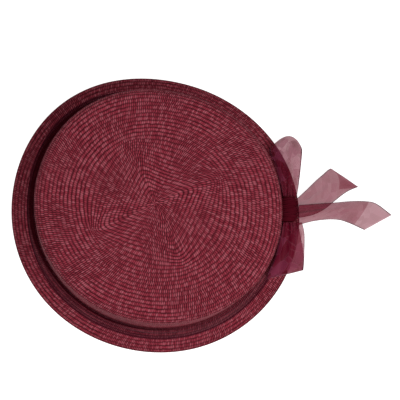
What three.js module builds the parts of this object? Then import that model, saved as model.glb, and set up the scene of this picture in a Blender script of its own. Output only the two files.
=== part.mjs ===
// A woven straw travel hat: a flat oval crown, a narrow sloping brim and a sheer ribbon tied in a bow.
// Millimetres, +Z up. The hat rests on the underside of its brim, and +X points out through the bow.
// The origin is at the middle of the hat's box, on the surface that it rests on.
import * as THREE from "three";
import { mergeVertices } from "three/addons/utils/BufferGeometryUtils.js";

// Sizes of the straw body, outside measures
const strawWall = 2;
const hatHeight = 105;
const crownTopLength = 181.3;
const crownTopWidth = 172;
const crownFootLength = 197;
const crownFootWidth = 185;
const crownDome = 2;
const crownEdgeRound = 8;
const crownFootRound = 9;
const brimLength = 240.6;
const brimWidth = 225.5;
const brimDrop = 3;
const brimFlat = 7;
const brimPitch = 20;
const brimSwell = 2;
const crownSwell = 1.6;
const longAxisBearing = -20.7;

// Sizes of the ribbon
const ribbonWidth = 34;
const ribbonThickness = 1;
const ribbonGap = 0.35;
const bandBrimMargin = 12;
const bandDraw = 2.8;
const knotHeight = 22;
const knotSide = 2.8;
const knotDepth = 16;
const knotLength = 20;
const knotTallness = 18;
const upperLoopLength = 51;
const lowerLoopLength = 46;
const upperTailReach = 71.6;
const lowerTailReach = 99.6;
const bulgeLean = 0.75;
const pleatCount = 2.5;

// Fineness of the faceted forms
const turnSteps = 72;
const roundSteps = 5;
const wallSteps = 4;
const knotSteps = 20;
const bandSteps = 8;
const ribbonAcross = 6;

// The brim edge isn't a true oval. Each row swells it (or draws it in) round one bearing.
// Columns: bearing in degrees, share of the brim's swell, and half the stretch that it spreads over in degrees.
const brimSwells = [
  { bearing: 0, share: 0.45, spread: 30 },
  { bearing: 80, share: -0.65, spread: 30 },
  { bearing: 126, share: 1, spread: 26 },
  { bearing: 170, share: -0.7, spread: 30 },
  { bearing: 225, share: 0.25, spread: 28 },
  { bearing: 326, share: -0.45, spread: 26 },
];

// The crown's top edge, in the same columns, as shares of the crown's swell
const crownSwells = [
  { bearing: 22, share: 1, spread: 34 },
  { bearing: 78, share: -0.6875, spread: 30 },
  { bearing: 122, share: 0.8125, spread: 24 },
];

// Where the band's lower edge draws back towards the crown, in the same columns, as shares of its draw
const bandDraws = [{ bearing: 174, share: 1, spread: 28 }];

// Folds of the knot, from one end to the other.
// Columns: place along its length and radius, both as shares of half the knot's size.
const knotFolds = [
  { along: -1, radius: 0 },
  { along: -1, radius: 0.62 },
  { along: -0.84, radius: 0.9 },
  { along: -0.5, radius: 1 },
  { along: -0.28, radius: 0.9 },
  { along: 0, radius: 1 },
  { along: 0.26, radius: 0.91 },
  { along: 0.55, radius: 1 },
  { along: 0.86, radius: 0.88 },
  { along: 1, radius: 0.6 },
  { along: 1, radius: 0 },
];

// Sections of a loop, from the top of the knot round the fold and back below it. The two selvedges are the
// outer one, away from the crown, and the inner one. Out is a share of the ribbon's width, from the band.
// Side is a share of the loop's length, from the knot's end. Rise is a share of the knot's height.
// Bulge pushes the middle towards the loop's end, and pleat is the depth of its folds, as shares of width.
const loopColumns = ["outOuter", "outInner", "sideOuter", "sideInner", "rise", "bulge", "pleat"];

// The upper loop ends in a round fold
const upperLoop = [
  [0.44, 0.1, 0.0, 0.0, 1.2, 0.0, 0.035],
  [0.49, 0.04, 0.2, 0.2, 1.26, 0.0, 0.03],
  [0.555, -0.05, 0.5, 0.5, 1.17, 0.03, 0.02],
  [0.61, -0.16, 0.73, 0.68, 0.95, 0.22, 0.01],
  [0.615, -0.19, 0.79, 0.77, 0.74, 0.305, 0.0],
  [0.59, -0.14, 0.72, 0.66, 0.56, 0.22, 0.01],
  [0.54, -0.02, 0.48, 0.5, 0.57, 0.05, 0.02],
  [0.46, 0.09, 0.2, 0.2, 0.71, 0.0, 0.03],
  [0.42, 0.14, 0.0, 0.0, 0.8, 0.0, 0.035],
];

// The lower loop ends in a straight slanting crease
const lowerLoop = [
  [0.56, 0.1, 0.0, 0.0, 1.2, 0.0, 0.035],
  [0.615, 0.04, 0.2, 0.2, 1.24, 0.0, 0.03],
  [0.62, -0.06, 0.54, 0.56, 1.14, 0.0, 0.02],
  [0.63, -0.24, 0.79, 0.92, 0.86, 0.0, 0.01],
  [0.633, -0.27, 0.84, 1.0, 0.7, 0.0, 0.0],
  [0.61, -0.2, 0.78, 0.9, 0.57, 0.0, 0.01],
  [0.57, 0.0, 0.5, 0.53, 0.59, 0.0, 0.02],
  [0.52, 0.1, 0.2, 0.18, 0.72, 0.0, 0.03],
  [0.46, 0.14, 0.0, 0.0, 0.8, 0.0, 0.035],
];

// Sections of a tail, from the knot to its slanting cut end. Left and right are its two selvedges, seen from
// the knot. Out is a share of the tail's reach beyond the knot, side is a share of the ribbon's width from
// the knot's middle, rise is a share of the knot's height, and pleat is as on a loop.
const tailColumns = ["outLeft", "outRight", "sideLeft", "sideRight", "riseLeft", "riseRight", "pleat"];

// The upper tail is the short one
const upperTail = [
  [0.0, 0.0, 0.28, -0.2, 0.88, 0.84, 0.03],
  [0.155, 0.24, 0.5, -0.12, 0.74, 0.64, 0.028],
  [0.31, 0.44, 0.73, 0.03, 0.56, 0.46, 0.02],
  [0.435, 0.63, 0.9, 0.265, 0.42, 0.33, 0.012],
  [0.516, 0.82, 1.01, 0.482, 0.3, 0.18, 0.006],
  [0.567, 1.0, 1.052, 0.606, 0.2, 0.07, 0.0],
];

// The lower tail lies over the upper one
const lowerTail = [
  [0.0, 0.0, 0.1, -0.38, 1.18, 1.08, 0.03],
  [0.2, 0.15, 0.15, -0.28, 0.92, 0.88, 0.028],
  [0.4, 0.33, 0.195, -0.22, 0.66, 0.6, 0.02],
  [0.56, 0.46, 0.238, -0.23, 0.44, 0.4, 0.012],
  [0.72, 0.56, 0.247, -0.3, 0.28, 0.26, 0.008],
  [0.84, 0.64, 0.19, -0.38, 0.16, 0.15, 0.004],
  [1.0, 0.717, -0.088, -0.462, 0.07, 0.07, 0.0],
];

const degrees = THREE.MathUtils.degToRad;

// A ring of the hat's oval form: half its length, half its width and its height
const topOval = { long: crownTopLength / 2, wide: crownTopWidth / 2 };
const footOval = { long: crownFootLength / 2, wide: crownFootWidth / 2 };
const brimOval = { long: brimLength / 2, wide: brimWidth / 2 };
const meanReach = (oval) => (oval.long + oval.wide) / 2;
const ring = (oval, outwards, height) => ({
  long: oval.long + outwards,
  wide: oval.wide + outwards,
  height,
});

// Heights that follow from the sizes
const footTurn = 90 - brimPitch;
const footSpread = crownFootRound * (1 - Math.cos(degrees(footTurn)));
const footTop = strawWall + brimDrop + crownFootRound * Math.sin(degrees(footTurn));
const wallTop = hatHeight - crownDome - crownEdgeRound;

// The outer profile, from the middle of the crown to the edge of the brim
function outerProfile() {
  const rows = [{ long: 0, wide: 0, height: hatHeight }];
  for (const share of [0.35, 0.7]) {
    rows.push({
      long: share * (topOval.long - crownEdgeRound),
      wide: share * (topOval.wide - crownEdgeRound),
      height: hatHeight - crownDome * share * share,
    });
  }
  for (let i = 0; i <= roundSteps; i++) {
    const turn = degrees((90 * i) / roundSteps);
    const inwards = crownEdgeRound * (1 - Math.sin(turn));
    rows.push(ring(topOval, -inwards, wallTop + crownEdgeRound * Math.cos(turn)));
  }
  for (let i = 1; i < wallSteps; i++) {
    const share = i / wallSteps;
    rows.push({
      long: THREE.MathUtils.lerp(topOval.long, footOval.long, share),
      wide: THREE.MathUtils.lerp(topOval.wide, footOval.wide, share),
      height: THREE.MathUtils.lerp(wallTop, footTop, share),
    });
  }
  for (let i = 0; i <= roundSteps; i++) {
    const turn = degrees((footTurn * i) / roundSteps);
    const outwards = crownFootRound * (1 - Math.cos(turn));
    rows.push(ring(footOval, outwards, footTop - crownFootRound * Math.sin(turn)));
  }
  rows.push(ring(brimOval, -brimFlat, strawWall));
  rows.push(ring(brimOval, 0, strawWall));
  return rows;
}

// Moves each ring of a profile square to the stretches that meet there, outwards for a positive distance
function liftProfile(rows, distance) {
  const normals = rows.slice(1).map((row, i) => {
    const run = meanReach(row) - meanReach(rows[i]);
    const fall = rows[i].height - row.height;
    return new THREE.Vector2(fall, run).normalize();
  });
  const upright = new THREE.Vector2(0, 1);
  return rows.map((row, i) => {
    const before = i > 0 ? normals[i - 1] : upright;
    const after = i < normals.length ? normals[i] : upright;
    const move = before.clone().add(after).multiplyScalar(distance / (1 + before.dot(after)));
    return ring(row, i > 0 ? move.x : 0, row.height + move.y);
  });
}

// How far the swells of a table push the edge out at a bearing, as a share of their size
function swellAt(swells, bearing) {
  let sum = 0;
  for (const swell of swells) {
    const away = Math.abs(((bearing - swell.bearing + 540) % 360) - 180);
    if (away < 2 * swell.spread) {
      sum += swell.share * 0.5 * (1 + Math.cos((Math.PI * away) / (2 * swell.spread)));
    }
  }
  return sum;
}

// Where a ring passes at a bearing, with the swells of the brim and of the crown's top edge
function ringPoint(row, bearing) {
  const turn = degrees(bearing - longAxisBearing);
  const reach = meanReach(row);
  const oval = reach + ((row.long - row.wide) / 2) * Math.cos(2 * turn);
  const footReach = meanReach(footOval);
  const brimShare = THREE.MathUtils.clamp((reach - footReach) / (meanReach(brimOval) - footReach), 0, 1);
  const heightShare = THREE.MathUtils.clamp((row.height - footTop) / (wallTop - footTop), 0, 1);
  const crownShare = heightShare * Math.min(reach / meanReach(topOval), 1);
  const brimPush = brimShare * brimSwell * swellAt(brimSwells, bearing);
  const crownPush = crownShare * crownSwell * swellAt(crownSwells, bearing);
  const angle = degrees(bearing);
  const distance = reach > 0 ? oval + brimPush + crownPush : 0;
  return new THREE.Vector3(distance * Math.cos(angle), distance * Math.sin(angle), row.height);
}

// Leaves only places and faces, with the doubled points joined
function closed(geometry) {
  geometry.deleteAttribute("normal");
  geometry.deleteAttribute("uv");
  const merged = mergeVertices(geometry, 1e-4);
  merged.computeVertexNormals();
  return merged;
}

// Turns a profile about the hat's axis and presses each ring to its oval
function ovalTurned(rows) {
  const profile = rows.map((row) => new THREE.Vector2(meanReach(row), row.height));
  const geometry = new THREE.LatheGeometry(profile, turnSteps);
  const places = geometry.getAttribute("position");
  for (let step = 0; step <= turnSteps; step++) {
    const bearing = (-360 * (step % turnSteps)) / turnSteps;
    rows.forEach((row, i) => {
      const point = ringPoint(row, bearing + 360);
      places.setXYZ(step * rows.length + i, point.x, point.y, point.z);
    });
  }
  return closed(geometry);
}

// A length of ribbon: a thin box whose faces are laid on the surface that place(u, v) gives
function ribbon(place, stepsAlong, stepsAcross) {
  const geometry = new THREE.BoxGeometry(1, 1, 1, stepsAlong, stepsAcross, 1);
  const places = geometry.getAttribute("position");
  const nudge = 1e-3;
  for (let i = 0; i < places.count; i++) {
    const u = places.getX(i) + 0.5;
    const v = places.getY(i) + 0.5;
    const side = places.getZ(i);
    const alongStart = place(Math.max(u - nudge, 0), v);
    const along = place(Math.min(u + nudge, 1), v).sub(alongStart);
    const acrossStart = place(u, Math.max(v - nudge, 0));
    const across = place(u, Math.min(v + nudge, 1)).sub(acrossStart);
    const normal = along.cross(across).normalize();
    const point = place(u, v).addScaledVector(normal, side * ribbonThickness);
    places.setXYZ(i, point.x, point.y, point.z);
  }
  return closed(geometry);
}

// Reads the columns of a table smoothly between its rows
function smoothColumns(rows, columns) {
  const curves = columns.map(
    (column, c) => new THREE.SplineCurve(rows.map((row, i) => new THREE.Vector2(i, row[c]))),
  );
  return (u) => Object.fromEntries(columns.map((column, c) => [column, curves[c].getPoint(u).y]));
}

// A wave of folds across the ribbon, level with it at both selvedges
function pleatWave(v) {
  return Math.cos(2 * Math.PI * pleatCount * (v - 0.5)) * Math.sin(Math.PI * v);
}

// The straw's outer skin, read by the distance from the brim's edge along the profile
const skin = liftProfile(outerProfile(), ribbonGap + ribbonThickness / 2).reverse();
const skinDistances = [0];
for (let i = 1; i < skin.length; i++) {
  const run = meanReach(skin[i]) - meanReach(skin[i - 1]);
  const climb = skin[i].height - skin[i - 1].height;
  skinDistances.push(skinDistances[i - 1] + Math.hypot(run, climb));
}
function skinRing(distance) {
  let i = 1;
  while (i < skin.length - 1 && skinDistances[i] < distance) {
    i += 1;
  }
  const share = (distance - skinDistances[i - 1]) / (skinDistances[i] - skinDistances[i - 1]);
  return {
    long: THREE.MathUtils.lerp(skin[i - 1].long, skin[i].long, share),
    wide: THREE.MathUtils.lerp(skin[i - 1].wide, skin[i].wide, share),
    height: THREE.MathUtils.lerp(skin[i - 1].height, skin[i].height, share),
  };
}

// Where the bow sits: out from the band, at the knot's height
function wallRing(height) {
  const share = (height - footTop) / (wallTop - footTop);
  return {
    long: THREE.MathUtils.lerp(footOval.long, topOval.long, share),
    wide: THREE.MathUtils.lerp(footOval.wide, topOval.wide, share),
    height,
  };
}
const bandFace = ringPoint(wallRing(knotHeight), 0).x + 2 * ribbonGap + ribbonThickness;
const knotFace = bandFace + ribbonGap + knotDepth;
const knotEnd = knotLength / 2 + ribbonGap + ribbonThickness / 2;

function strawBody() {
  const outside = outerProfile();
  const inside = liftProfile(outside, -strawWall).reverse();
  return ovalTurned([...outside, ...inside]);
}

// The band runs once round the crown, and its two ends meet behind the knot
function band() {
  const endGap = ribbonGap / bandFace;
  const place = (u, v) => {
    const bearing = THREE.MathUtils.radToDeg(endGap + u * (2 * Math.PI - 2 * endGap));
    const margin = bandBrimMargin + (1 - v) * bandDraw * swellAt(bandDraws, bearing);
    return ringPoint(skinRing(margin + v * ribbonWidth), bearing);
  };
  return ribbon(place, turnSteps, bandSteps);
}

// A loop of the bow. The way is +1 for the loop towards +Y and -1 for the other.
function loop(rows, length, way) {
  const read = smoothColumns(rows, loopColumns);
  const place = (u, v) => {
    const row = read(u);
    const out = THREE.MathUtils.lerp(row.outOuter, row.outInner, v) * ribbonWidth;
    const side = THREE.MathUtils.lerp(row.sideOuter, row.sideInner, v) * length;
    const bulge = row.bulge * ribbonWidth * Math.sin(Math.PI * v ** bulgeLean);
    return new THREE.Vector3(
      bandFace + out,
      knotSide + way * (knotEnd + side + bulge),
      row.rise * knotHeight + row.pleat * ribbonWidth * pleatWave(v),
    );
  };
  const turned = (u, v) => place(u, way > 0 ? v : 1 - v);
  return ribbon(turned, 4 * (rows.length - 1), ribbonAcross);
}

function tail(rows, reach) {
  const read = smoothColumns(rows, tailColumns);
  const start = knotFace + ribbonGap;
  const place = (u, v) => {
    const row = read(u);
    return new THREE.Vector3(
      start + THREE.MathUtils.lerp(row.outLeft, row.outRight, v) * (bandFace + reach - start),
      knotSide + THREE.MathUtils.lerp(row.sideLeft, row.sideRight, v) * ribbonWidth,
      THREE.MathUtils.lerp(row.riseLeft, row.riseRight, v) * knotHeight +
        row.pleat * ribbonWidth * pleatWave(v),
    );
  };
  return ribbon(place, 4 * (rows.length - 1), ribbonAcross);
}

function knot() {
  const profile = knotFolds.map((fold) => new THREE.Vector2(fold.radius, fold.along));
  const geometry = new THREE.LatheGeometry(profile, knotSteps);
  geometry.scale(knotDepth / 2, knotLength / 2, knotTallness / 2);
  geometry.translate(knotFace - knotDepth / 2, knotSide, knotHeight);
  return closed(geometry);
}

// Finishes
const straw = { color: "#6c2332", roughness: 0.75, metalness: 0 };
const organza = { color: "#8f6570", roughness: 0.45, metalness: 0 };

function piece(name, geometry, finish) {
  const mesh = new THREE.Mesh(geometry, new THREE.MeshStandardMaterial(finish));
  mesh.name = name;
  return mesh;
}

const hat = new THREE.Group();
hat.add(piece("hat_body", strawBody(), straw));

const bow = new THREE.Group();
bow.add(piece("organza_band", band(), organza));
bow.add(piece("bow_knot", knot(), organza));
bow.add(piece("bow_loop_upper", loop(upperLoop, upperLoopLength, 1), organza));
bow.add(piece("bow_loop_lower", loop(lowerLoop, lowerLoopLength, -1), organza));
bow.add(piece("bow_tail_upper", tail(upperTail, upperTailReach), organza));
bow.add(piece("bow_tail_lower", tail(lowerTail, lowerTailReach), organza));
hat.add(bow);

// The hat is set so that the origin is at the middle of its box, on the surface
const box = new THREE.Box3().setFromObject(hat, true);
const middle = box.getCenter(new THREE.Vector3());
hat.position.set(-middle.x, -middle.y, -box.min.z);

const group = new THREE.Group();
group.add(hat);

export default group;
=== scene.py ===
"""A woven straw travel hat with a sheer organza ribbon tied in a bow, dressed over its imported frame."""

import logging
import math
from collections.abc import Callable
from dataclasses import dataclass, field
from enum import Enum
from functools import partial

import bpy
import numpy as np
from mathutils import Matrix, Vector, noise


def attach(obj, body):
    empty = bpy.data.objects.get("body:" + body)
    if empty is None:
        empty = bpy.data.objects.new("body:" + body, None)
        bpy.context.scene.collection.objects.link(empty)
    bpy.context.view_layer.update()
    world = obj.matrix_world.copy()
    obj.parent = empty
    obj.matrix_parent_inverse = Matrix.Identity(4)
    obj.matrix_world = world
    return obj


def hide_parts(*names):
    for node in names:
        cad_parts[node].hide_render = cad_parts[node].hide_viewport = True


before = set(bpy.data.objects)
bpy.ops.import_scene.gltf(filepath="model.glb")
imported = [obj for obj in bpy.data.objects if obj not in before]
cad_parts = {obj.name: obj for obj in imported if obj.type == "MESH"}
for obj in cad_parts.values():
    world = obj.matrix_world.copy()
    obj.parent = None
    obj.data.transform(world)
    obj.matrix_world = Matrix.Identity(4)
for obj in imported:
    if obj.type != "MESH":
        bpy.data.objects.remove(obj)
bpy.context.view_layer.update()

MM = 0.001
Array = np.ndarray
Place = Callable[[Array, Array], Array]
Node = bpy.types.Node
Adder = Callable[..., Node]
Socket = bpy.types.NodeSocket
Table = tuple[tuple[float, ...], ...]
log = logging.getLogger("travel_hat")


class Slot(Enum):
    """The record's material slots."""

    STRAW = "straw"
    ORGANZA = "organza"


class Held(Enum):
    """How a length of ribbon is held."""

    GATHERED = "gathered"
    FOLDED = "folded"
    DRAPED = "draped"


class Way(Enum):
    """The side of the knot that a loop stands out to."""

    UPPER = 1
    LOWER = -1


class Edge(Enum):
    """Which edge of the hat a swell belongs to."""

    BRIM = "brim"
    CROWN = "crown"


def to_linear(colour: str) -> tuple[float, float, float, float]:
    """Turns an sRGB hex colour to linear.

    Args:
        colour: The colour as "#rrggbb".

    Returns:
        Linear red, green and blue, and an alpha of 1.
    """
    parts = [int(colour[i : i + 2], 16) / 255 for i in (1, 3, 5)]
    red, green, blue = (c / 12.92 if c <= 0.04045 else ((c + 0.055) / 1.055) ** 2.4 for c in parts)
    return red, green, blue, 1.0


def add_node(tree: bpy.types.NodeTree, kind: str, inputs: dict | None = None, **settings: object) -> Node:
    """Adds a node with its settings and links.

    Args:
        tree: The node tree that it goes in.
        kind: The node's type name, after the word ShaderNode.
        inputs: What each input takes, by its name or number: a value, an output socket, or a node, which
            stands for its first output in use.
        settings: The node's own properties.

    Returns:
        The new node.
    """
    made = tree.nodes.new("ShaderNode" + kind)
    for name, value in settings.items():
        setattr(made, name, value)
    for key, value in (inputs or {}).items():
        if isinstance(value, Node):
            value = next(output for output in value.outputs if output.enabled)
        if isinstance(value, Socket):
            tree.links.new(value, made.inputs[key])
        else:
            made.inputs[key].default_value = value
    return made


def new_material(name: str) -> tuple[bpy.types.Material, Adder]:
    """Makes an empty node material.

    Args:
        name: The real material's name.

    Returns:
        The material, and what adds a node to it.
    """
    material = bpy.data.materials.new(name)
    material.use_nodes = True
    material.node_tree.nodes.clear()
    return material, partial(add_node, material.node_tree)


def smooth_step(share: Array) -> Array:
    """Eases from 0 to 1 with level ends."""
    held = np.clip(share, 0.0, 1.0)
    return held * held * (3.0 - 2.0 * held)


def read_rows(rows: Array, at: Array) -> Array:
    """Reads a table of sections smoothly between its rows.

    Args:
        rows: One row of numbers for each section.
        at: Places from 0, the first row, to 1, the last.

    Returns:
        A row of numbers for each place.
    """
    last = len(rows) - 1
    spot = np.clip(at, 0.0, 1.0) * last
    low = np.minimum(spot.astype(int), last - 1)
    rest = (spot - low)[:, None]
    before, start = rows[np.maximum(low - 1, 0)], rows[low]
    end, after = rows[low + 1], rows[np.minimum(low + 2, last)]
    leave, reach = 0.5 * (end - before), 0.5 * (after - start)
    cubic = 2.0 * start - 2.0 * end + leave + reach
    square = -3.0 * start + 3.0 * end - 2.0 * leave - reach
    return ((cubic * rest + square) * rest + leave) * rest + start


def wrinkle_at(points: Array, seed: float) -> Array:
    """Smooth noise for each point, the same each run.

    Args:
        points: Places in the noise, three numbers each.
        seed: Moves to another part of the noise.

    Returns:
        A value of about -1 to 1 for each point.
    """
    away = Vector((seed, 0.37 * seed, 0.71 * seed))
    return np.array([noise.noise(Vector(point) + away) for point in points])


def start_primitive() -> None:
    """Leaves nothing selected, so that the next operator acts on its own piece alone."""
    if bpy.context.object is not None and bpy.context.object.mode != "OBJECT":
        bpy.ops.object.mode_set(mode="OBJECT")
    bpy.ops.object.select_all(action="DESELECT")


def run_along(reach: Array, height: Array) -> Array:
    """How far along a profile each of its rows is, from its reach and its height."""
    return np.concatenate([[0.0], np.cumsum(np.hypot(np.diff(reach), np.diff(height)))])


def rows_at(rows: Array, run: Array, spots: Array) -> Array:
    """Reads a profile at spots along its run.

    Args:
        rows: The profile.
        run: How far along each of its rows is.
        spots: The places to read.

    Returns:
        A row for each spot.
    """
    return np.stack([np.interp(spots, run, rows[:, k]) for k in range(3)], axis=1)


def points_of(mesh: bpy.types.Mesh) -> Array:
    """A mesh's points, a row each."""
    return np.array([vertex.co for vertex in mesh.vertices])


def move_points(mesh: bpy.types.Mesh, points: Array) -> None:
    """Gives a mesh's points new places."""
    mesh.vertices.foreach_set("co", points.astype(np.float32).ravel())
    mesh.update()


def corner_points(mesh: bpy.types.Mesh) -> Array:
    """The number of the point at each corner of a mesh's faces.

    Args:
        mesh: The mesh.

    Returns:
        A whole number for each corner.
    """
    corner = np.zeros(len(mesh.loops), np.int32)
    mesh.loops.foreach_get("vertex_index", corner)
    return corner


def add_map(mesh: bpy.types.Mesh, name: str, places: Array) -> None:
    """Adds a UV map with a place for each corner of a mesh's faces."""
    mesh.uv_layers.new(name=name).data.foreach_set("uv", places.astype(np.float32).ravel())


@dataclass(frozen=True)
class Swell:
    """A soft push out of the hat's oval round one bearing.

    Attributes:
        edge: The edge that it moves.
        bearing: Its middle, in degrees.
        amount: How far it pushes out, in mm.
        spread: How far from its middle it has fallen to half, in degrees.
    """

    edge: Edge
    bearing: float
    amount: float
    spread: float

    def at(self, bearings: Array) -> Array:
        """How far it pushes out.

        Args:
            bearings: Directions, in degrees.

        Returns:
            A distance in mm for each of them.
        """
        away = np.abs((bearings - self.bearing + 540.0) % 360.0 - 180.0)
        wave = 0.5 * self.amount * (1.0 + np.cos(np.pi * away / (2.0 * self.spread)))
        return np.where(away < 2.0 * self.spread, wave, 0.0)


@dataclass
class HatForm:
    """The block that the straw is pressed on: an oval crown and a narrow sloping brim, in mm.

    Places are measured from the crown's axis. The top, foot and brim are each a half length and a half
    width, angles are in degrees, and a profile is rows of half length, half width and height.
    """

    axis: tuple[float, float] = (0.0, 0.0)
    wall: float = 2.0
    height: float = 105.0
    top: tuple[float, float] = (90.65, 86.0)
    foot: tuple[float, float] = (98.5, 92.5)
    brim: tuple[float, float] = (120.3, 112.75)
    dome: float = 2.0
    edge_round: float = 8.0
    foot_round: float = 9.0
    brim_drop: float = 3.0
    brim_flat: float = 7.0
    brim_pitch: float = 20.0
    long_axis: float = -20.7
    top_steps: int = 40
    turn_steps: int = 24
    wall_steps: int = 30
    swells: tuple[Swell, ...] = (
        Swell(Edge.BRIM, 0, 0.9, 30),
        Swell(Edge.BRIM, 80, -1.3, 30),
        Swell(Edge.BRIM, 126, 2, 26),
        Swell(Edge.BRIM, 170, -1.4, 30),
        Swell(Edge.BRIM, 225, 0.5, 28),
        Swell(Edge.BRIM, 326, -0.9, 26),
        Swell(Edge.CROWN, 22, 1.6, 34),
        Swell(Edge.CROWN, 78, -1.1, 30),
        Swell(Edge.CROWN, 122, 1.3, 24),
        Swell(Edge.CROWN, 265, -1.3, 22),
        Swell(Edge.CROWN, 330, 1.2, 18),
    )

    def __post_init__(self) -> None:
        """Works out the heights that follow from the sizes."""
        self.foot_turn = math.radians(90.0 - self.brim_pitch)
        self.foot_top = self.wall + self.brim_drop + self.foot_round * math.sin(self.foot_turn)
        self.wall_top = self.height - self.dome - self.edge_round

    def profile(self) -> Array:
        """The outer side, from the middle of the crown to the edge of the brim.

        Returns:
            Rows of half length, half width and height, close together on the curved stretches.
        """
        top, foot, brim = np.array(self.top), np.array(self.foot), np.array(self.brim)
        rows = []
        for share in np.linspace(0.0, 1.0, self.top_steps, endpoint=False):
            rows.append([*(share * (top - self.edge_round)), self.height - self.dome * share * share])
        for turn in np.linspace(0.0, math.pi / 2, self.turn_steps, endpoint=False):
            inwards = self.edge_round * (1.0 - math.sin(turn))
            rows.append([*(top - inwards), self.wall_top + self.edge_round * math.cos(turn)])
        for share in np.linspace(0.0, 1.0, self.wall_steps, endpoint=False):
            drop = self.wall_top + (self.foot_top - self.wall_top) * share
            rows.append([*(top + (foot - top) * share), drop])
        for turn in np.linspace(0.0, self.foot_turn, self.turn_steps):
            outwards = self.foot_round * (1.0 - math.cos(turn))
            rows.append([*(foot + outwards), self.foot_top - self.foot_round * math.sin(turn)])
        rows.append([*(brim - self.brim_flat), self.wall])
        rows.append([*brim, self.wall])
        return np.array(rows)

    def lifted(self, rows: Array, distance: float) -> Array:
        """Moves a profile square to itself.

        Args:
            rows: The profile.
            distance: How far, outwards for a positive distance.

        Returns:
            The moved profile.
        """
        run, fall = np.gradient(rows[:, :2].mean(axis=1)), -np.gradient(rows[:, 2])
        long = np.hypot(run, fall)
        move = np.stack([fall / long, fall / long, run / long], axis=1) * distance
        move[rows[:, 0] < 1e-9, :2] = 0.0
        return rows + move

    def ring(self, row: Array, bearings: Array) -> Array:
        """Where a ring of the form passes.

        Args:
            row: Its half length, half width and height.
            bearings: Directions from the crown's axis, in degrees.

        Returns:
            A point for each bearing.
        """
        reach = 0.5 * (row[0] + row[1])
        oval = reach + 0.5 * (row[0] - row[1]) * np.cos(2.0 * np.radians(bearings - self.long_axis))
        foot, brim, top = (0.5 * sum(oval_of) for oval_of in (self.foot, self.brim, self.top))
        brim_share = min(max((reach - foot) / (brim - foot), 0.0), 1.0)
        crown_share = min(max((row[2] - self.foot_top) / (self.wall_top - self.foot_top), 0.0), 1.0)
        crown_share *= min(reach / top, 1.0)
        shares = {Edge.BRIM: brim_share, Edge.CROWN: crown_share}
        out = oval + sum(shares[swell.edge] * swell.at(bearings) for swell in self.swells)
        out = np.where(reach > 0.0, out, 0.0)
        angle = np.radians(bearings)
        return np.stack([out * np.cos(angle), out * np.sin(angle), np.full_like(out, row[2])], axis=1)

    def wall_reach(self, height: float) -> float:
        """How far the wall stands from the axis, straight behind the bow.

        Args:
            height: The height to measure at, in mm.

        Returns:
            The distance in mm.
        """
        share = (height - self.foot_top) / (self.wall_top - self.foot_top)
        top, foot = np.array(self.top), np.array(self.foot)
        return float(self.ring(np.array([*(foot + (top - foot) * share), height]), np.array([0.0]))[0, 0])

    def placed(self, points: Array) -> Array:
        """Points from the crown's axis, in mm, set in the row frame in metres."""
        return (points + np.array([self.axis[0], self.axis[1], 0.0])) * MM


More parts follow.
